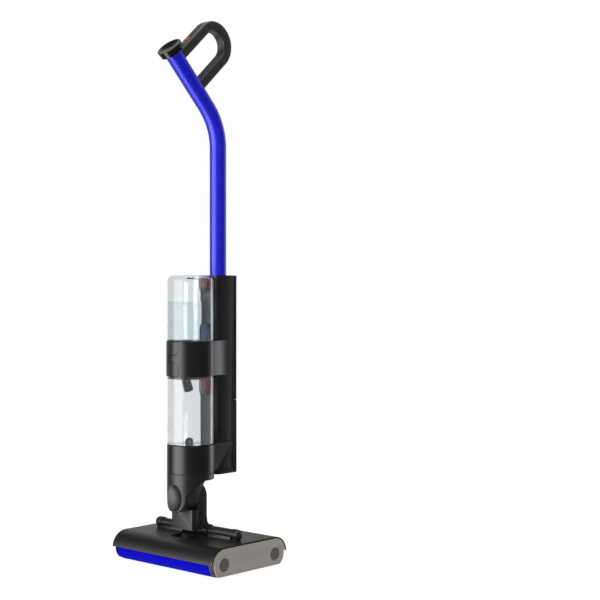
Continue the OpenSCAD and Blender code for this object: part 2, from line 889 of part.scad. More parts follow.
module clean_tank_valve() {
    color([0.05, 0.2, 0.75])
    difference() {
        intersection() {
            valve_space(0);
            rod_z(tank_r - 0.2, clean_z, clean_z + 60, 0, tank_y);
        }
        rod_y(3, tank_y + tank_r - 9, tank_y + tank_r + 1, 0, clean_z + 18);
    }
}

module dirty_tank() {
    color([0.85, 0.9, 0.93, 0.4])
    tank_body(dirty_z, dirty_z + dirty_h, dirty_z + 2.5, dirty_z + dirty_h + 1,
        dirty_catch_top - catch_h - 8);
}

module dirty_tank_lid() {
    color([0.1, 0.1, 0.11])
    difference() {
        rod_z(tank_r - tank_wall - fit, dirty_z + dirty_h - lid_t, dirty_z + dirty_h, 0, tank_y);
        catch_space(dirty_z + dirty_h, dirty_z, tank_wall + fit);
        rod_z(spout_r - spout_wall, dirty_z + dirty_h - 6, dirty_z + dirty_h + 1, 0, spout_y);
    }
}

// Slanted spout under the lid that lets the dirty water run in
module dirty_tank_spout() {
    color([0.08, 0.08, 0.09])
    translate([0, spout_y, dirty_z + dirty_h - lid_t])
        difference() {
            slanted_rod(spout_r, spout_drop, 0);
            slanted_rod(spout_r - spout_wall, spout_drop + 1, 1);
        }
}

// Rod that leans back from the lid's underside; above is how far it runs over it
module slanted_rod(r, drop, above) {
    intersection() {
        rotate([20, 0, 0]) translate([0, 0, -drop]) cylinder(r = r, h = 2 * drop);
        box([-20, -30, -2 * drop], [20, 30, above]);
    }
}

module dirty_tank_post() {
    color([0.3, 0.3, 0.32]) {
        rod_z(8.5, dirty_z + 2.5, dirty_z + 12, 0, tank_y - 4);
        rod_z(3, dirty_z + 12, dirty_z + 15, 0, tank_y - 4);
    }
}

head_shell();
head_chassis();
left_end_cap();
right_end_housing();
right_end_plate();
end_plugs();
wiper(-1);  // front_wiper
wiper(1);  // rear_wiper
water_bar(-1, [[roller_x0 + 4, -yoke_half - 6], [yoke_half + 6, roller_x1 - 4]]);  // front_water_bar
water_bar(1, [[roller_x0 + 4, roller_x1 - 4]]);  // rear_water_bar
roller_motor(-1);  // front_motor
roller_motor(1);  // rear_motor
head_screws();
pivot_bar();
bar_end(-1);  // bar_end_left
bar_end(1);  // bar_end_right
tray_button();
debris_tray();
tray_strainer();
roller_sleeve(-1);  // front_roller_sleeve
roller_core(-1);  // front_roller_core
roller_hubs(-1);  // front_roller_hubs
roller_sleeve(1);  // rear_roller_sleeve
roller_core(1);  // rear_roller_core
roller_hubs(1);  // rear_roller_hubs
yoke();
roll_pin();
neck();
neck_dish();
base_collar();
pump();
mid_collar();
collar_floor();
spine_housing();
rear_cover();
control_board();
charging_socket();
wand_socket();
wand_tube();
wand_end_cap();
display_lens();
mirror([1, 0, 0]) handle_shell();  // handle_shell_left
handle_shell();  // handle_shell_right
handle_screws();
switch_board();
power_button();
mode_button();
battery_case();
battery_cover();
battery_cells();
battery_latch();
clean_tank();
clean_tank_base();
clean_tank_valve();
tank_catch(clean_catch_top);  // clean_tank_catch
dirty_tank();
dirty_tank_lid();
dirty_tank_spout();
dirty_tank_post();
tank_catch(dirty_catch_top);  // dirty_tank_catch
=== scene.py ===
import json
import math

import bmesh
import bpy
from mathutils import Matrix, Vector, noise

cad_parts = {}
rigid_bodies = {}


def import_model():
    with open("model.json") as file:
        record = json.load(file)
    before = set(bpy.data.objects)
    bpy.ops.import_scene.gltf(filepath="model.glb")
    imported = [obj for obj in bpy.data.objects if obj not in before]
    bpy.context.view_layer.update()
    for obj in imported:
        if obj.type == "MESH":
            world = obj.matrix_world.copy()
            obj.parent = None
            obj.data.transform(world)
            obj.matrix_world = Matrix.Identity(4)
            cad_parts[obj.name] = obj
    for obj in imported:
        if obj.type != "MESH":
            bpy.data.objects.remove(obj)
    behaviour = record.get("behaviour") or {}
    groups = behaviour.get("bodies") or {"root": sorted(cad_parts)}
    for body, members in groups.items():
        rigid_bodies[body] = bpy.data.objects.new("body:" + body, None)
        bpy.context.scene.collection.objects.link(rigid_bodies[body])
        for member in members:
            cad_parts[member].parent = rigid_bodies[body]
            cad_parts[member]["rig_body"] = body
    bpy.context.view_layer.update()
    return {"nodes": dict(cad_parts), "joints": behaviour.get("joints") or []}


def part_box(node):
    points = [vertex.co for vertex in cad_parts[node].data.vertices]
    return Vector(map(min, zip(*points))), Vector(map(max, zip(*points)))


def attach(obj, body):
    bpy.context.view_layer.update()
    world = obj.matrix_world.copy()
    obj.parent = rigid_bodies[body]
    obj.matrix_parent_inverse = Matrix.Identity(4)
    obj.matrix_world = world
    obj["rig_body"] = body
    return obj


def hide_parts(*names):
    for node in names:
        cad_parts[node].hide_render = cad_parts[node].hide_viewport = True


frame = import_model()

MM = 0.001
nodes = frame["nodes"]

# ---------------------------------------------------------------- Studio
# A white sweep, and a surround whose brightness turns with the heading: one broad white band on the
# left and a thin rim band behind on the right. A soft box lights the end plate, and another the top.

scene = bpy.context.scene
scene.view_settings.view_transform = "Standard"


def linear(code):
    """Linear colour with alpha from an sRGB hex code."""
    channels = [int(code[i:i + 2], 16) / 255 for i in (1, 3, 5)]
    return [c / 12.92 if c <= 0.04045 else ((c + 0.055) / 1.055) ** 2.4 for c in channels] + [1.0]


def add_node(tree, kind, settings=None, **links):
    """Adds a node; settings sets its properties and sockets, links joins its sockets to outputs."""
    node = tree.nodes.new(kind)
    for key, value in (settings or {}).items():
        if isinstance(key, str) and hasattr(node, key):
            setattr(node, key, value)
        else:
            node.inputs[key].default_value = value
    for key, source in links.items():
        socket = node.inputs[int(key[1:])] if key[0] == "i" and key[1:].isdigit() else node.inputs[key]
        tree.links.new(source, socket)
    return node


camera = bpy.data.objects.new("camera", bpy.data.cameras.new("camera"))
scene.collection.objects.link(camera)
camera.location = (1.871, -1.775, 0.549)
camera.rotation_euler = (math.radians(90), 0, math.radians(41.8))
camera.data.sensor_width = 36
camera.data.lens = 73.7
scene.camera = camera

world = bpy.data.worlds.new("white_surround")
scene.world = world
world.use_nodes = True
sky = world.node_tree
sky.nodes.clear()
heading = add_node(sky, "ShaderNodeTexCoord")
axes = add_node(sky, "ShaderNodeSeparateXYZ", None, i0=heading.outputs["Generated"])
turn = add_node(sky, "ShaderNodeMath", {"operation": "ARCTAN2"}, i0=axes.outputs[1], i1=axes.outputs[0])
share = add_node(sky, "ShaderNodeMapRange", {1: -math.pi, 2: math.pi}, Value=turn.outputs[0])
ramp = add_node(sky, "ShaderNodeValToRGB", None, Fac=share.outputs[0])

KEY_LEVEL = 5.0
FADE_FROM, FADE_TO = 0.08, 0.4    # the bands fade between these rises of the heading
HIGH_SHARE = 0.35                 # what is left of them overhead
# (heading in degrees, light)
SKY_BANDS = ((-180, 0.15), (-136, 0.15), (-128, KEY_LEVEL), (-86, KEY_LEVEL), (-76, 0.12), (20, 0.08),
             (70, 0.1), (76, 3.0), (86, 3.0), (92, 0.15), (125, 0.3), (155, 1.5), (180, 0.15))
ramp.color_ramp.elements.remove(ramp.color_ramp.elements[0])
for k, (angle, light) in enumerate(SKY_BANDS):
    share_of_turn = (angle + 180) / 360
    stop = ramp.color_ramp.elements[0] if k == 0 else ramp.color_ramp.elements.new(share_of_turn)
    stop.position = share_of_turn
    stop.color = [light / KEY_LEVEL] * 3 + [1]
fade = add_node(sky, "ShaderNodeMapRange",
                {1: FADE_FROM, 2: FADE_TO, 3: KEY_LEVEL, 4: HIGH_SHARE * KEY_LEVEL}, Value=axes.outputs[2])
bands = add_node(sky, "ShaderNodeMath", {"operation": "MULTIPLY"}, i0=ramp.outputs[0], i1=fade.outputs[0])
seen = add_node(sky, "ShaderNodeLightPath")
open_ray = add_node(sky, "ShaderNodeMath", {"operation": "MAXIMUM"},
                    i0=seen.outputs["Is Camera Ray"], i1=seen.outputs["Is Transmission Ray"])
level = add_node(sky, "ShaderNodeMix", {"data_type": "FLOAT", 3: 1.0},
                 i0=open_ray.outputs[0], i2=bands.outputs[0])
surround = add_node(sky, "ShaderNodeBackground", {"Color": (1, 1, 1, 1)}, Strength=level.outputs[0])
add_node(sky, "ShaderNodeOutputWorld", Surface=surround.outputs[0])


def soft_box(name, place, aim, width, height, watts):
    data = bpy.data.lights.new(name, "AREA")
    data.shape = "RECTANGLE"
    data.size, data.size_y = width, height
    data.energy = watts
    lamp = bpy.data.objects.new(name, data)
    scene.collection.objects.link(lamp)
    lamp.location = place
    lamp.rotation_euler = (Vector(aim) - Vector(place)).to_track_quat("-Z", "Y").to_euler()
    return lamp


end_fill = soft_box("end_fill", (2.0, -0.7, 0.8), (0.15, 0, 0.04), 0.8, 0.8, 34)
end_fill.visible_glossy = False
soft_box("top_bank", (0.2, 0.2, 2.8), (0, 0, 0.4), 1.6, 1.6, 30)

FLOOR_RADIUS = 30


def meshed(bm, name):
    """The mesh that holds what bm holds, which is then freed."""
    mesh = bpy.data.meshes.new(name)
    bm.to_mesh(mesh)
    bm.free()
    return mesh


def new_finish(name):
    """A new node material with its tree, its shader and the surface's place."""
    material = bpy.data.materials.new(name)
    material.use_nodes = True
    tree = material.node_tree
    position = add_node(tree, "ShaderNodeNewGeometry").outputs["Position"]
    return material, tree, tree.nodes["Principled BSDF"], position


bm = bmesh.new()
bmesh.ops.create_circle(bm, cap_ends=True, segments=96, radius=FLOOR_RADIUS)
floor_mesh = meshed(bm, "floor")
floor = bpy.data.objects.new("floor", floor_mesh)
scene.collection.objects.link(floor)
floor_paint, tree, shader, position = new_finish("white_sweep")
shader.inputs["Base Color"].default_value = linear("#6a6a6a")
shader.inputs["Roughness"].default_value = 0.9
shader.inputs["Emission Color"].default_value = (1, 1, 1, 1)
shader.inputs["Emission Strength"].default_value = 0.93
floor_mesh.materials.append(floor_paint)
floor.visible_glossy = False
floor.visible_diffuse = False

# ---------------------------------------------------------------- Head shell
# One injection moulded ABS hood over both rollers: 3 mm wall, a soft saddle in front of the neck
# and a pocket into which the yoke swings. The tool is spark eroded, so the black is satin.

ABS_GRAIN = 0.35 * MM     # pitch of the eroded grain, coarser than the real 0.1 mm so that it shows


GLOSS_SPREAD = 0.06
CLOUD_SIZE = 40 * MM


def plastic(name, code, roughness, grain=ABS_GRAIN, depth=0.02, lift=0.12, coat=0.0):
    """Moulded plastic: even colour with a faint cloud, and a fine eroded grain in gloss and relief."""
    material, tree, shader, position = new_finish(name)
    cloud = add_node(tree, "ShaderNodeTexNoise", {"Scale": 1 / CLOUD_SIZE, "Detail": 3}, Vector=position)
    speck = add_node(tree, "ShaderNodeTexNoise", {"Scale": 1 / grain, "Detail": 2}, Vector=position)
    base = linear(code)
    light = [min(1, c * (1 + lift)) for c in base[:3]] + [1]
    dark = [c * (1 - lift) for c in base[:3]] + [1]
    tint = add_node(tree, "ShaderNodeMix", {"data_type": "RGBA", 6: dark, 7: light}, i0=cloud.outputs[0])
    gloss = add_node(tree, "ShaderNodeMapRange", {3: roughness - GLOSS_SPREAD, 4: roughness + GLOSS_SPREAD},
                     Value=speck.outputs[0])
    relief = add_node(tree, "ShaderNodeBump", {"Strength": 0.35, "Distance": depth * MM},
                      Height=speck.outputs[0])
    tree.links.new(tint.outputs[2], shader.inputs["Base Color"])
    tree.links.new(gloss.outputs[0], shader.inputs["Roughness"])
    tree.links.new(relief.outputs[0], shader.inputs["Normal"])
    shader.inputs["IOR"].default_value = 1.53
    shader.inputs["Coat Weight"].default_value = coat
    return material


satin_abs = plastic("satin_abs", "#161618", 0.36)


def shaped(name, mesh, material, body, replaced=(), sharp=35):
    """Makes a piece from a mesh, gives it its finish and puts it on its body."""
    piece = bpy.data.objects.new(name, mesh)
    scene.collection.objects.link(piece)
    mesh.materials.clear()
    mesh.materials.append(material)
    mesh.polygons.foreach_set("use_smooth", [True] * len(mesh.polygons))
    mesh.set_sharp_from_angle(angle=math.radians(sharp))
    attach(piece, body)
    if replaced:
        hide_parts(*replaced)
    return piece


def settled(mesh, *steps):
    """The mesh with each modifier step (type, settings) worked into it."""
    holder = bpy.data.objects.new("work", mesh)
    scene.collection.objects.link(holder)
    for kind, settings in steps:
        modifier = holder.modifiers.new(kind.lower(), kind)
        for key, value in settings.items():
            setattr(modifier, key, value)
    bpy.context.view_layer.update()
    graph = bpy.context.evaluated_depsgraph_get()
    done = bpy.data.meshes.new_from_object(holder.evaluated_get(graph))
    bpy.data.objects.remove(holder)
    return done


def rounded_edges(width, segments=3, angle=30):
    return ("BEVEL", {"width": width, "segments": segments, "limit_method": "ANGLE",
                      "angle_limit": math.radians(angle), "miter_outer": "MITER_ARC"})


FLATTEN = ("WEIGHTED_NORMAL", {"keep_sharp": True, "weight": 80})


WELD = 0.002 * MM
FLAT_ENOUGH = math.radians(0.4)


def carried(node, material, width, segments=3, angle=30):
    """Copies a CAD node's shape, eases its edges as a mould does, and stands for it."""
    bm = bmesh.new()
    bm.from_mesh(nodes[node].data)
    bmesh.ops.remove_doubles(bm, verts=bm.verts, dist=WELD)
    bmesh.ops.dissolve_limit(bm, angle_limit=FLAT_ENOUGH, verts=bm.verts, edges=bm.edges)
    mesh = settled(meshed(bm, node), rounded_edges(width, segments, angle), FLATTEN)
    return shaped(node + "_finished", mesh, material, nodes[node]["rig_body"], [node])


def skin(bm, rings, capped=True):
    """Faces between each ring of points and the next, with flat ends or closed on itself."""
    for a, b in zip(rings, rings[1:] if capped else rings[1:] + rings[:1]):
        for i in range(len(a)):
            j = (i + 1) % len(a)
            bm.faces.new((a[i], a[j], b[j], b[i]))
    if capped:
        bm.faces.new(rings[0][::-1])
        bm.faces.new(rings[-1])
    bmesh.ops.recalc_face_normals(bm, faces=bm.faces)


def swept(outline, stations):
    """Mesh from one outline of points carried through the stations, with flat ends."""
    bm = bmesh.new()
    skin(bm, [[bm.verts.new(station(p)) for p in outline] for station in stations])
    return meshed(bm, "swept")


def arc(cy, cz, radius, start, end, steps):
    """Points along an arc, from one angle to another in degrees."""
    turns = [math.radians(start + (end - start) * i / steps) for i in range(steps + 1)]
    return [(cy + radius * math.cos(t), cz + radius * math.sin(t)) for t in turns]


roller_low, roller_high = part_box("rear_roller_sleeve")
axle = Vector((0, (roller_low.y + roller_high.y) / 2, (roller_low.z + roller_high.z) / 2))
shell_low, shell_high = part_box("head_shell")
hood_r = shell_high.y - axle.y
hood_top = axle.z + hood_r
hood_wall = 3 * MM
lip_rise = shell_low.z - axle.z


HOOD_STEPS = 14
HOOD_STATIONS = 60


def hood_outline(radius):
    """The hood's section: a round front, a flat top and a round rear."""
    lip = math.degrees(math.asin(lip_rise / radius))
    front = arc(-axle.y, axle.z, radius, 180 - lip, 90, HOOD_STEPS)
    rear = arc(axle.y, axle.z, radius, 90, lip, HOOD_STEPS)
    flat = [(-axle.y + 2 * axle.y * i / 20, axle.z + radius) for i in range(1, 20)]
    return front + flat + rear


SADDLE_DEPTH = 2.2 * MM
SADDLE_WIDTH = 75 * MM
SADDLE_Y = -62 * MM
SADDLE_LENGTH = 34 * MM


def saddle(x, y, z):
    """The hood's top sinks a little in front of the neck."""
    if z < axle.z + hood_r * 0.6:
        return 0
    across = math.exp(-(x / SADDLE_WIDTH) ** 2)
    along = math.exp(-((y - SADDLE_Y) / SADDLE_LENGTH) ** 2)
    return -SADDLE_DEPTH * across * along


hood_section = hood_outline(hood_r) + hood_outline(hood_r - hood_wall)[::-1]
stations = []
for i in range(HOOD_STATIONS + 1):
    x = shell_low.x + (shell_high.x - shell_low.x) * i / HOOD_STATIONS
    stations.append(lambda p, x=x: (x, p[0], p[1] + saddle(x, *p)))
hood = swept(hood_section, stations)

yoke_low, yoke_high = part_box("yoke")
barrel_r = (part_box("pivot_bar")[0].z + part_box("pivot_bar")[1].z) / 2 - yoke_low.z
tilt = next(j for j in frame["joints"] if j["name"] == "neck_tilt")
tilt_axis = Vector(tilt["pos_m"])
tilt_max = math.radians(tilt["range_deg"][1] + 1)
YOKE_FRONT = 24 * MM          # height of the yoke's front block over the tilt axis
YOKE_FLOOR = 2.3 * MM         # drop from the tilt axis to the block's underside, with its gap
POCKET_FLOOR = 6 * MM         # drop to the pocket's floor behind the axis
POCKET_HALF = 31.3 * MM
LINER = 2.5 * MM
swing_r = math.hypot(yoke_low.y - tilt_axis.y, YOKE_FRONT) + 1.6 * MM


def swing_outline(grow):
    """Sector through which the yoke's front block turns, with its floor along the block's underside."""
    floor_line = YOKE_FLOOR - grow
    radius = swing_r + grow
    start = 180 - math.degrees(math.asin(floor_line / radius)) + math.degrees(tilt_max)
    rim = arc(tilt_axis.y, tilt_axis.z, radius, start, 100, 16)
    back, foot = tilt_axis.y + 1 * MM + 2 * grow, tilt_axis.z - POCKET_FLOOR - 1.3 * grow
    return rim + [(back, tilt_axis.z + radius * 0.9), (back, foot),
                  (tilt_axis.y - 5 * MM * math.cos(tilt_max), foot)]


def boxed(low, high):
    """Block between two corners."""
    bm = bmesh.new()
    bmesh.ops.create_cube(bm, size=1)
    low, high = Vector(low), Vector(high)
    for v in bm.verts:
        v.co = Vector(low[i] + (v.co[i] + 0.5) * (high[i] - low[i]) for i in range(3))
    return meshed(bm, "block")


def cut(mesh, cutter, operation="DIFFERENCE"):
    """One solid cut from, or joined to, another."""
    tool = bpy.data.objects.new("cutter", cutter)
    scene.collection.objects.link(tool)
    done = settled(mesh, ("BOOLEAN", {"operation": operation, "object": tool, "solver": "EXACT"}))
    bpy.data.objects.remove(tool)
    return done


def along_x(outline, x0, x1):
    return swept(outline, [lambda p: (x0, p[0], p[1]), lambda p: (x1, p[0], p[1])])


TUBE_STEPS = 64


def tube_x(x0, x1, y, z, radius):
    return along_x(arc(y, z, radius, 0, 360 - 360 / TUBE_STEPS, TUBE_STEPS - 1), x0, x1)


CLEAR = 100 * MM              # reaches past the pocket on every side
liner = along_x(swing_outline(LINER), -POCKET_HALF - LINER, POCKET_HALF + LINER)
liner = cut(liner, boxed((-CLEAR, -2 * CLEAR, hood_top - 2.6 * MM), (CLEAR, 2 * CLEAR, 3 * CLEAR)))
liner = cut(liner, tube_x(-CLEAR, CLEAR, -axle.y, axle.z, axle.z + 1.2 * MM))
hood = cut(hood, liner, "UNION")
hood = cut(hood, along_x(swing_outline(0), -POCKET_HALF, POCKET_HALF))
BARREL_HALF = 38 * MM
BED_HALF = 8.5 * MM
hood = cut(hood, tube_x(-BARREL_HALF, BARREL_HALF, tilt_axis.y, tilt_axis.z, barrel_r + 0.6 * MM))
bar_low, bar_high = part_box("pivot_bar")
bed_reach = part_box("bar_end_right")[0].x - 0.5 * MM
for side in (-1, 1):
    ends = sorted((side * (yoke_high.x + 2 * MM), side * bed_reach))
    bed = boxed((ends[0], tilt_axis.y - BED_HALF, hood_top - 1 * MM),
                (ends[1], tilt_axis.y + BED_HALF, tilt_axis.z - 5.5 * MM))
    hood = cut(hood, bed, "UNION")
trough_r = (bar_high.z - bar_low.z) / 2 + 0.1 * MM
hood = cut(hood, tube_x(bar_low.x, bar_high.x, tilt_axis.y, tilt_axis.z, trough_r))
button_low, button_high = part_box("tray_button")
margin = Vector((0.35 * MM,) * 3)
travel = Vector((0, 0, 1.5 * MM))
hood = cut(hood, boxed(button_low - margin - travel, button_high + margin + Vector((0, 0, 0.01))))
hood = settled(hood, rounded_edges(0.8 * MM), FLATTEN)
shaped("hood", hood, satin_abs, "head", ["head_shell"])

# ---------------------------------------------------------------- Chassis and ends
# The ABS chassis, left cap and right bearing housing are moulded in the same black. The end plate is
# a warm grey ABS trim moulded with a finer grain, set flush inside the hood's black edge.

chassis_abs = plastic("chassis_abs", "#202022", 0.5)
grey_abs = plastic("grey_abs", "#96918c", 0.42, lift=0.04)
for node in ("head_chassis", "left_end_cap", "right_end_housing"):
    carried(node, chassis_abs, 0.4 * MM)
carried("right_end_plate", grey_abs, 0.7 * MM)

# ---------------------------------------------------------------- End plugs
# Round rubbery plugs that cover the bearing screws. Their faces carry rings of small moulded pips,
# so they look dull and speckled beside the plate.

plug_rubber = plastic("plug_rubber", "#5c5955", 0.75, grain=0.6 * MM, depth=0.1)
plug_low, plug_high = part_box("end_plugs")
plug_r = (plug_high.z - plug_low.z) / 2
PIP_R = 0.55 * MM
PIP_RINGS = 5


ON_AXIS = 1e-7


def lathe(profile, place, steps=64):
    """Solid of revolution from (radius, height) points; place turns (x, y, h) into the part's frame."""
    bm = bmesh.new()
    rings = []
    for radius, height in profile:
        if radius < ON_AXIS:
            rings.append([bm.verts.new(place(0, 0, height))])
            continue
        turns = [2 * math.pi * i / steps for i in range(steps)]
        rings.append([bm.verts.new(place(radius * math.cos(t), radius * math.sin(t), height)) for t in turns])
    for a, b in zip(rings, rings[1:]):
        for i in range(steps):
            j = (i + 1) % steps
            if len(a) == 1 and len(b) == 1:
                break
            if len(a) == 1:
                bm.faces.new((a[0], b[j], b[i]))
            elif len(b) == 1:
                bm.faces.new((a[i], a[j], b[0]))
            else:
                bm.faces.new((a[i], a[j], b[j], b[i]))
    for ring in (rings[0], rings[-1]):
        if len(ring) > 1:
            bm.faces.new(ring)
    bmesh.ops.recalc_face_normals(bm, faces=bm.faces)
    return meshed(bm, "lathe")


def joined(meshes):
    bm = bmesh.new()
    for mesh in meshes:
        bm.from_mesh(mesh)
    return meshed(bm, "joined")


plugs = []
for side in (-1, 1):
    place = lambda a, b, h, s=side: (h, s * axle.y + a, axle.z + b)
    face = plug_high.x - 0.5 * MM
    rim = [(0, plug_low.x), (plug_r, plug_low.x), (plug_r, face), (plug_r - 0.6 * MM, plug_high.x),
           (plug_r - 1.6 * MM, plug_high.x), (plug_r - 2.0 * MM, face), (0, face)]
    plugs.append(lathe(rim, place))
    for ring in range(PIP_RINGS + 1):
        radius = ring * (plug_r - 3 * MM) / PIP_RINGS
        count = max(1, round(2 * math.pi * radius / (4.2 * PIP_R)))
        for i in range(count):
            turn = 2 * math.pi * i / count
            centre = (radius * math.cos(turn), radius * math.sin(turn))
            pip = [(0, face + 0.35 * MM), (PIP_R * 0.7, face + 0.22 * MM), (PIP_R, face - 0.1 * MM)]
            near = lambda a, b, h, c=centre, s=side: (h, s * axle.y + c[0] + a, axle.z + c[1] + b)
            plugs.append(lathe(pip, near, steps=8))
shaped("bearing_plugs", joined(plugs), plug_rubber, "head", ["end_plugs"])

# ---------------------------------------------------------------- Rollers
# Each roller wears a sleeve of knitted split microfibre, dyed vivid blue. The tufts lie in tight
# helical rows; dry, they scatter light like velvet and darken between the rows.

TUFT_PITCH = 3.4 * MM      # row spacing, a little coarser than the real 2 mm so that it shows


FIBRE_SIZE = 0.9 * MM
TUFT_SIZE = 2.4 * MM


def microfibre_cloth():
    material, tree, shader, position = new_finish("dyed_microfibre")
    stretch = add_node(tree, "ShaderNodeMapping", {"Scale": (0.25, 1, 1)}, Vector=position)
    fibres = add_node(tree, "ShaderNodeTexNoise", {"Scale": 1 / FIBRE_SIZE, "Detail": 4},
                      Vector=stretch.outputs[0])
    tufts = add_node(tree, "ShaderNodeTexVoronoi", {"Scale": 1 / TUFT_SIZE}, Vector=position)
    mixed = add_node(tree, "ShaderNodeMath", {"operation": "MULTIPLY"},
                     i0=fibres.outputs[0], i1=tufts.outputs[0])
    tint = add_node(tree, "ShaderNodeValToRGB", None, Fac=fibres.outputs[0])
    tint.color_ramp.elements[0].position = 0.25
    tint.color_ramp.elements[0].color = linear("#00007a")
    tint.color_ramp.elements[1].position = 0.75
    tint.color_ramp.elements[1].color = linear("#0303d6")
    relief = add_node(tree, "ShaderNodeBump", {"Strength": 0.8, "Distance": 0.6 * MM},
                      Height=mixed.outputs[0])
    tree.links.new(tint.outputs[0], shader.inputs["Base Color"])
    tree.links.new(relief.outputs[0], shader.inputs["Normal"])
    shader.inputs["Roughness"].default_value = 0.95
    shader.inputs["Specular IOR Level"].default_value = 0.1
    shader.inputs["Sheen Weight"].default_value = 0.25
    shader.inputs["Sheen Roughness"].default_value = 0.4
    shader.inputs["Sheen Tint"].default_value = linear("#3a48ff")
    return material


microfibre = microfibre_cloth()
roller_plastic = plastic("roller_polypropylene", "#3a3a3d", 0.5)


def pile_sleeve(side):
    """Outer face of the pile with its tufts, its two ends and the bore that grips the core."""
    turns, rows = 120, 150
    outer = roller_high.z - axle.z
    inner = outer - 5 * MM
    bm = bmesh.new()
    rings = []
    ends = 2 * MM
    for k in range(rows + 1):
        x = roller_low.x + (roller_high.x - roller_low.x) * k / rows
        edge = min(x - roller_low.x, roller_high.x - x, ends) / ends
        ring = []
        for i in range(turns):
            t = 2 * math.pi * i / turns
            row = math.sin(2 * math.pi * (x / TUFT_PITCH / 2.2 + i / turns * 14))
            cell = noise.noise(Vector((x / (4 * MM), 9 * math.cos(t), 9 * math.sin(t) + 20 * side)))
            pile = outer - 0.35 * MM + 0.2 * MM * row + 0.45 * MM * cell - 1.6 * MM * (1 - math.sqrt(edge))
            pile = min(pile, outer)
            ring.append(bm.verts.new((x, side * axle.y + pile * math.cos(t), axle.z + pile * math.sin(t))))
        rings.append(ring)
    for x in (roller_high.x, roller_low.x):
        bore = [2 * math.pi * i / turns for i in range(turns)]
        rings.append([bm.verts.new((x, side * axle.y + inner * math.cos(t), axle.z + inner * math.sin(t)))
                      for t in bore])
    skin(bm, rings, capped=False)
    return meshed(bm, "sleeve")


for name, side in (("front", -1), ("rear", 1)):
    shaped(name + "_pile", pile_sleeve(side), microfibre, name + "_roller",
           [name + "_roller_sleeve"], sharp=80)
    carried(name + "_roller_core", roller_plastic, 0.3 * MM)
    carried(name + "_roller_hubs", roller_plastic, 0.3 * MM)

# ---------------------------------------------------------------- Inside the head
# Two steel-canned brushless motors, silicone wiper blades, polypropylene water bars, and zinc
# plated screws: clean, unpainted stock parts that only show from below or with the tray out.


def zinc_plate(roughness, spread, darker):
    """Plated metal with brushed streaks along X."""
    material, tree, shader, position = new_finish("zinc_plated_steel")
    stretch = add_node(tree, "ShaderNodeMapping", {"Scale": (0.1, 1, 1)}, Vector=position)
    streak = add_node(tree, "ShaderNodeTexNoise", {"Scale": 1 / STREAK_SIZE, "Detail": 3},
                      Vector=stretch.outputs[0])
    base = linear("#b9bcc0")
    dark = [c * (1 - darker) for c in base[:3]] + [1]
    tone = add_node(tree, "ShaderNodeMix", {"data_type": "RGBA", 6: dark, 7: base}, i0=streak.outputs[0])
    gloss = add_node(tree, "ShaderNodeMapRange", {3: roughness - spread, 4: roughness + spread},
                     Value=streak.outputs[0])
    tree.links.new(tone.outputs[2], shader.inputs["Base Color"])
    tree.links.new(gloss.outputs[0], shader.inputs["Roughness"])
    shader.inputs["Metallic"].default_value = 1.0
    return material


STREAK_SIZE = 0.8 * MM
plated_steel = zinc_plate(0.32, 0.08, 0.1)
silicone = plastic("black_silicone", "#262626", 0.6, grain=0.8 * MM)
pale_pp = plastic("natural_polypropylene", "#c9ccd0", 0.45)
for node in ("front_motor", "rear_motor", "head_screws"):
    carried(node, plated_steel, 0.3 * MM)
for node in ("front_wiper", "rear_wiper"):
    carried(node, silicone, 0.3 * MM)
for node in ("front_water_bar", "rear_water_bar"):
    carried(node, pale_pp, 0.3 * MM)

# ---------------------------------------------------------------- Debris tray and its button
# The tray is a moulded ABS drawer with a polypropylene strainer. Its release is a small gloss red
# button, the colour of everything that the user may undo.

red_abs = plastic("gloss_red_abs", "#c40a12", 0.22, depth=0.006, lift=0.06)
strainer_pp = plastic("grey_polypropylene", "#4a4c50", 0.5)
carried("debris_tray", chassis_abs, 0.4 * MM)
carried("tray_strainer", strainer_pp, 0.15 * MM)
carried("tray_button", red_abs, 1.2 * MM, segments=4)

# ---------------------------------------------------------------- Pivot bar and yoke
# The bar is a glass filled nylon tube held by two round ended bosses on the hood. The yoke, of the
# same nylon, turns on it and carries the steel pin on which the neck rolls.

nylon = plastic("glass_filled_nylon", "#1b1b1d", 0.42, grain=0.5 * MM)
carried("pivot_bar", nylon, 0.3 * MM)
for node in ("bar_end_left", "bar_end_right"):
    carried(node, nylon, 0.4 * MM, angle=40)
carried("yoke", nylon, 1.4 * MM, segments=4, angle=40)
carried("roll_pin", plated_steel, 0.5 * MM)

# ---------------------------------------------------------------- Neck
# A nylon moulding: its round cup grows out of the tank column's cylinder, and a shallow dish covers
# the roll pin. All its edges run out softly.


def melted(names, voxel, rounds):
    """CAD shapes joined and softened, as a moulding with generous radii."""
    mesh = joined([nodes[n].data for n in names])
    bm = bmesh.new()
    bm.from_mesh(mesh)
    bmesh.ops.remove_doubles(bm, verts=bm.verts, dist=WELD)
    bm.to_mesh(mesh)
    bm.free()
    return settled(mesh, ("REMESH", {"mode": "VOXEL", "voxel_size": voxel, "use_smooth_shade": True}),
                   ("SMOOTH", {"factor": 0.5, "iterations": rounds}))


neck_mesh = melted(["neck", "neck_dish"], 1.1 * MM, 5)
shaped("neck_casting", neck_mesh, nylon, "column", ["neck", "neck_dish"], sharp=60)

# ---------------------------------------------------------------- Collars
# Two ABS collars hold the tanks to the spine: a round front with straight cheeks. The middle one has
# two shallow finger panels on its front, one under the clean tank and one over the dirty tank.

PANEL_HALF_ANGLE = 17
PANEL_DEPTH = 0.9 * MM
PANEL_CORNER = 8 * MM
PANEL_GAP = 14 * MM
PANEL_EDGE = 1.6 * MM
PANEL_REACH = 20 * MM         # how far a panel would run past the collar's rim
COLLAR_EDGE = 1.2 * MM
COLLAR_ROWS = 46
COLLAR_TURNS = 240


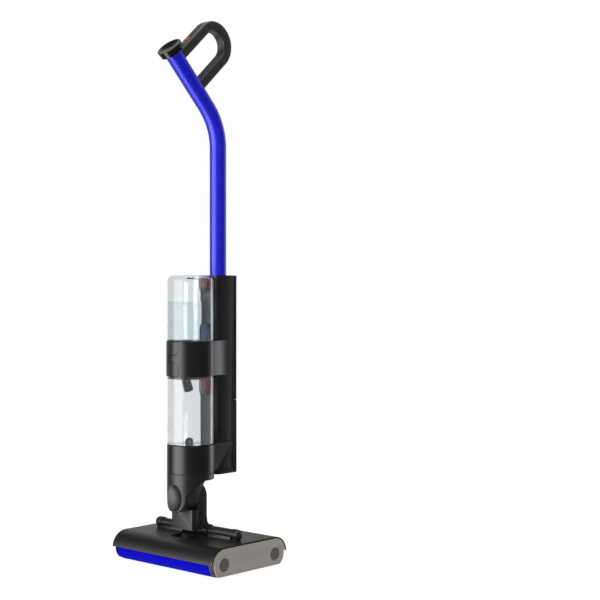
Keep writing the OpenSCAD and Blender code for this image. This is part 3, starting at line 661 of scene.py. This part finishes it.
def panel_dent(angle, z, z0, z1, radius):
    """Depth of the finger panels at a place on the collar's front."""
    u = radius * math.radians(angle)
    half = radius * math.radians(PANEL_HALF_ANGLE)
    middle = (z0 + z1) / 2
    depth = 0
    spans = ((z0 - PANEL_REACH, middle - PANEL_GAP / 2), (middle + PANEL_GAP / 2, z1 + PANEL_REACH))
    for low, high in spans:
        du = abs(u) - half + PANEL_CORNER
        dz = abs(z - (low + high) / 2) - (high - low) / 2 + PANEL_CORNER
        outside = math.hypot(max(du, 0), max(dz, 0)) + min(max(du, dz), 0) - PANEL_CORNER
        depth = max(depth, min(1, max(0, -outside / PANEL_EDGE)))
    return PANEL_DEPTH * depth * depth * (3 - 2 * depth)


def collar_mesh(node):
    """Round collar with eased rims and its finger panels pressed in."""
    low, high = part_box(node)
    edge = COLLAR_EDGE
    radius = high.x
    centre_y = low.y + radius
    outline = []
    for i in range(COLLAR_TURNS):
        a = -180 + 360 * i / COLLAR_TURNS
        x, y = radius * math.sin(math.radians(a)), centre_y - radius * math.cos(math.radians(a))
        outline.append((a, x, y))
    heights = [low.z, low.z + edge * 0.3, low.z + edge]
    straight = high.z - low.z - 2 * edge
    heights += [low.z + edge + straight * i / COLLAR_ROWS for i in range(1, COLLAR_ROWS)]
    heights += [high.z - edge, high.z - edge * 0.3, high.z]
    bm = bmesh.new()
    rings = []
    for z in heights:
        from_end = min(z - low.z, high.z - z)
        inset = 0 if from_end >= edge else edge - math.sqrt(max(0, edge ** 2 - (edge - from_end) ** 2))
        ring = []
        for a, x, y in outline:
            dent = panel_dent(a, z, low.z, high.z, radius)
            scale = (radius - inset - dent) / radius
            ring.append(bm.verts.new((x * scale, centre_y + (y - centre_y) * scale, z)))
        rings.append(ring)
    skin(bm, rings)
    return meshed(bm, node)


spine_low, spine_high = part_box("spine_housing")
tank_low, tank_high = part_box("dirty_tank")
column_y = (tank_low.y + tank_high.y) / 2
low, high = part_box("mid_collar")
band = collar_mesh("mid_collar")
half = spine_high.x + 2.8 * MM
arms = settled(boxed((-half, column_y, low.z), (half, high.y, high.z)), rounded_edges(1.0 * MM, 4))
band = cut(band, arms, "UNION")
gap = 0.1 * MM
spine_room = boxed((spine_low.x - gap, spine_low.y - gap, low.z - CLEAR / 2),
                   (spine_high.x + gap, 2 * CLEAR, high.z + CLEAR / 2))
band = cut(band, spine_room)


def on_column(a, b, h):
    """Places a lathe's point on the tanks' axis."""
    return a, column_y + b, h


def cylinder_profile(radius, foot, top):
    return [(0, foot), (radius, foot), (radius, top), (0, top)]


ROUND_STEPS = 128
hollow = lathe(cylinder_profile(tank_high.x - 3 * MM, low.z - 1 * MM, high.z - 4 * MM), on_column, 96)
band = cut(band, hollow)
shaped("middle_band", settled(band, FLATTEN), satin_abs, "column", ["mid_collar"], sharp=40)
carried("base_collar", satin_abs, 0.3 * MM, angle=40)
carried("collar_floor", chassis_abs, 0.3 * MM)
carried("pump", plated_steel, 0.6 * MM)

# ---------------------------------------------------------------- Spine
# The spine is a deep ABS channel closed by two back covers; the lower one belongs to the battery
# pack. Its long softened front corners catch the bright bands.

carried("spine_housing", satin_abs, 0.9 * MM, segments=3, angle=40)
carried("rear_cover", satin_abs, 1.0 * MM, segments=3)
carried("battery_cover", satin_abs, 1.6 * MM, segments=4)
carried("battery_latch", chassis_abs, 0.8 * MM)
carried("battery_case", chassis_abs, 0.8 * MM)
cell_wrap = plastic("printed_pvc_sleeve", "#2f6f9a", 0.3, lift=0.05)
carried("battery_cells", cell_wrap, 0.6 * MM)
solder_mask = plastic("green_solder_mask", "#0f5a2c", 0.3, grain=1.5 * MM, depth=0.05, lift=0.3)
for node in ("control_board", "switch_board"):
    carried(node, solder_mask, 0.2 * MM)
carried("charging_socket", chassis_abs, 0.3 * MM)
carried("wand_socket", chassis_abs, 0.3 * MM)

# ---------------------------------------------------------------- Tanks
# Both tanks are blown from clear copolyester with a 2 mm wall. The plastic is bright and hard edged:
# you read it from its rim lines, the white strip on its flank and what stands behind it.


def clear_finish(name, code, flow_size, roughest, smoothest, ior):
    """See-through plastic or water: clear, with a gloss that flows a little."""
    material, tree, shader, position = new_finish(name)
    flow = add_node(tree, "ShaderNodeTexNoise", {"Scale": 1 / flow_size, "Detail": 1}, Vector=position)
    gloss = add_node(tree, "ShaderNodeMapRange", {3: smoothest, 4: roughest}, Value=flow.outputs[0])
    tree.links.new(gloss.outputs[0], shader.inputs["Roughness"])
    shader.inputs["Base Color"].default_value = linear(code)
    shader.inputs["IOR"].default_value = ior
    shader.inputs["Transmission Weight"].default_value = 1.0
    return material


clear_plastic = clear_finish("clear_copolyester", "#ebedee", 30 * MM, 0.05, 0.01, 1.45)
clear_plastic.node_tree.nodes["Principled BSDF"].inputs["Specular IOR Level"].default_value = 0.3


def arch_block(half, y0, y1, z_low, z_high, up):
    """Block with a round end at its top (up) or its foot."""
    if up:
        outline = [(-half, z_low), (half, z_low)] + arc(0, z_high - half, half, 0, 180, 24)
    else:
        outline = [(half, z_high), (-half, z_high)] + arc(0, z_low + half, half, 180, 360, 24)
    return swept(outline, [lambda p: (p[0], y0, p[1]), lambda p: (p[0], y1, p[1])])


def tank_mesh(node, wall, foot_round, top_round, open_top, recess, grow):
    """Clear tank: its outer skin, less its hollow, less the arched recesses in its back."""
    low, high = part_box(node)
    radius = high.x
    foot_arc = arc(0, low.z + foot_round, foot_round, -90, 0, 6)
    outer = [(0, low.z)] + [(radius - foot_round + r, z) for r, z in foot_arc]
    if open_top:
        outer += [(radius, high.z), (0, high.z)]
        inner_top = high.z + 1 * MM
        inner_round = 0
    else:
        outer += [(radius - top_round + r, z) for r, z in arc(0, high.z - top_round, top_round, 0, 90, 10)]
        outer += [(0, high.z)]
        inner_top = high.z - wall
        inner_round = top_round - wall
    inner_r = radius - wall
    inner_foot = low.z + (wall if open_top else -1 * MM)
    inner = [(0, inner_foot), (inner_r, inner_foot)]
    if inner_round:
        top_arc = arc(0, inner_top - inner_round, inner_round, 0, 90, 8)
        inner += [(inner_r - inner_round + r, z) for r, z in top_arc]
    else:
        inner += [(inner_r, inner_top)]
    inner += [(0, inner_top)]
    solid = lathe(outer, on_column, ROUND_STEPS)
    hollow = lathe(inner, on_column, ROUND_STEPS)
    y0, y1 = high.y - RECESS_DEPTH, high.y + RECESS_PAST
    for z_low, z_high, half, up in recess:
        foot, head = (z_low, z_high + grow) if up else (z_low - grow, z_high)
        hollow = cut(hollow, arch_block(half + grow, y0 - grow, y1, foot, head, up))
    solid = cut(solid, hollow)
    for z_low, z_high, half, up in recess:
        solid = cut(solid, arch_block(half, y0, y1, z_low, z_high, up))
    return solid


RECESS_DEPTH = 13 * MM
RECESS_PAST = 3 * MM
clean_low, clean_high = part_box("clean_tank")
catch_half = 8.8 * MM
clean_catch_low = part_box("clean_tank_catch")[0].z
dirty_catch_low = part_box("dirty_tank_catch")[0].z
valve_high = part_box("clean_tank_valve")[1].z
clean_recess = [(clean_catch_low - 6 * MM, clean_high.z + 5 * MM, catch_half, False),
                (clean_low.z - 5 * MM, valve_high + 0.3 * MM, 9.2 * MM, True)]
dirty_recess = [(dirty_catch_low - 8 * MM, tank_high.z + 5 * MM, catch_half, False)]
clean_mesh = tank_mesh("clean_tank", 2 * MM, 0.8 * MM, 11 * MM, False, clean_recess, 1.6 * MM)
dirty_mesh = tank_mesh("dirty_tank", 2 * MM, 4 * MM, 0, True, dirty_recess, 1.6 * MM)
shaped("clean_tank_wall", clean_mesh, clear_plastic, "clean_tank", ["clean_tank"])
shaped("dirty_tank_wall", dirty_mesh, clear_plastic, "dirty_tank", ["dirty_tank"])

# The water fills three fifths of the clean tank's height. It is a separate body of fluid with a
# flat top, a pale cold tint and its own faces just inside the tank's wall.

water = clear_finish("tap_water", "#e4eff4", 14 * MM, 0.04, 0.0, 1.04)
WATER_FILL = 0.6
water_top = clean_low.z + WATER_FILL * (clean_high.z - clean_low.z)
water_r = tank_high.x - 2.4 * MM
water_foot = clean_low.z + 3.4 * MM
fluid = lathe(cylinder_profile(water_r, water_foot, water_top), on_column, ROUND_STEPS)
valve_room = arch_block(11.2 * MM, clean_high.y - RECESS_DEPTH - 2 * MM, clean_high.y + RECESS_PAST,
                        clean_low.z - 5 * MM, valve_high + 2.4 * MM, True)
fluid = cut(fluid, valve_room)
piece = shaped("water", fluid, water, "clean_tank")

# ---------------------------------------------------------------- Tank fittings
# The clean tank's valve is a moulded blue acetal body, its base and the dirty tank's lid, spout and
# post are black or grey ABS, and both catches are the same gloss red as the tray button.

blue_acetal = plastic("blue_acetal", "#1440c0", 0.3, lift=0.1)
smoke_abs = plastic("smoke_grey_abs", "#3c3e41", 0.35)
carried("clean_tank_valve", blue_acetal, 1.2 * MM, segments=4, angle=40)
carried("clean_tank_base", smoke_abs, 0.4 * MM)
carried("clean_tank_catch", red_abs, 1.4 * MM, segments=4)
carried("dirty_tank_catch", red_abs, 1.4 * MM, segments=4)
carried("dirty_tank_lid", chassis_abs, 0.4 * MM)
carried("dirty_tank_spout", satin_abs, 0.4 * MM, angle=40)
post_low, post_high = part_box("dirty_tank_post")
post_at = (post_low + post_high) / 2
post_r = (post_high.x - post_low.x) / 2
dome = [(0, post_low.z), (post_r, post_low.z)] + arc(0, post_high.z - post_r, post_r, 0, 90, 12)
post = lathe(dome, lambda a, b, h: (post_at.x + a, post_at.y + b, h), 64)
shaped("float_post_dome", post, smoke_abs, "dirty_tank", ["dirty_tank_post"])
VENT_R = 7.5 * MM
vent_top = clean_high.z - 2.1 * MM
vent_mesh = lathe(cylinder_profile(VENT_R, vent_top - 3 * MM, vent_top), on_column, 48)
vent = shaped("tank_vent", vent_mesh, chassis_abs, "clean_tank")

# ---------------------------------------------------------------- Wand
# Drawn aluminium tube bent cold on a mandrel, then anodised deep blue. The satin metal shows one
# broad long highlight, and faint streaks of the drawing run along it.

anodised, tree, shader, position = new_finish("blue_anodised_aluminium")
drawn = add_node(tree, "ShaderNodeMapping", {"Scale": (1, 1, 0.06)}, Vector=position)
grain = add_node(tree, "ShaderNodeTexNoise", {"Scale": 1 / (0.5 * MM), "Detail": 3}, Vector=drawn.outputs[0])
dye = add_node(tree, "ShaderNodeMix", {"data_type": "RGBA", 6: linear("#1216c0"), 7: linear("#1a20cc")},
               i0=grain.outputs[0])
gloss = add_node(tree, "ShaderNodeMapRange", {3: 0.36, 4: 0.44}, Value=grain.outputs[0])
tree.links.new(dye.outputs[2], shader.inputs["Base Color"])
tree.links.new(gloss.outputs[0], shader.inputs["Roughness"])
shader.inputs["Metallic"].default_value = 0.2
shader.inputs["Specular IOR Level"].default_value = 0.8
carried("wand_tube", anodised, 0.3 * MM, angle=50)

# ---------------------------------------------------------------- End cap and display
# The cap is polished black ABS in two stepped rings. Inside it the display hides under a dished
# lens of smoked polycarbonate that looks solid black while it is off.

piano_abs = plastic("polished_black_abs", "#0a0a0b", 0.18, depth=0.001, lift=0.05)
smoked_lens = plastic("smoked_polycarbonate", "#141416", 0.12, depth=0.003, coat=0.5)
carried("wand_end_cap", piano_abs, 0.7 * MM, segments=3, angle=40)
carried("display_lens", smoked_lens, 0.4 * MM, angle=40)

# ---------------------------------------------------------------- Loop handle
# Two ABS halves overmoulded with a charcoal soft-touch elastomer and screwed together along the
# loop's middle plane. The skin is matt, with a grain too fine to stand out as relief.

soft_touch = plastic("soft_touch_elastomer", "#29292b", 0.48, grain=0.5 * MM, depth=0.002, lift=0.05)
teal_abs = plastic("teal_abs", "#0b5a5e", 0.25, depth=0.006)
for node in ("handle_shell_left", "handle_shell_right"):
    carried(node, soft_touch, 0.5 * MM, angle=40)
carried("handle_screws", plated_steel, 0.3 * MM)
carried("power_button", red_abs, 0.6 * MM)
carried("mode_button", teal_abs, 0.6 * MM)
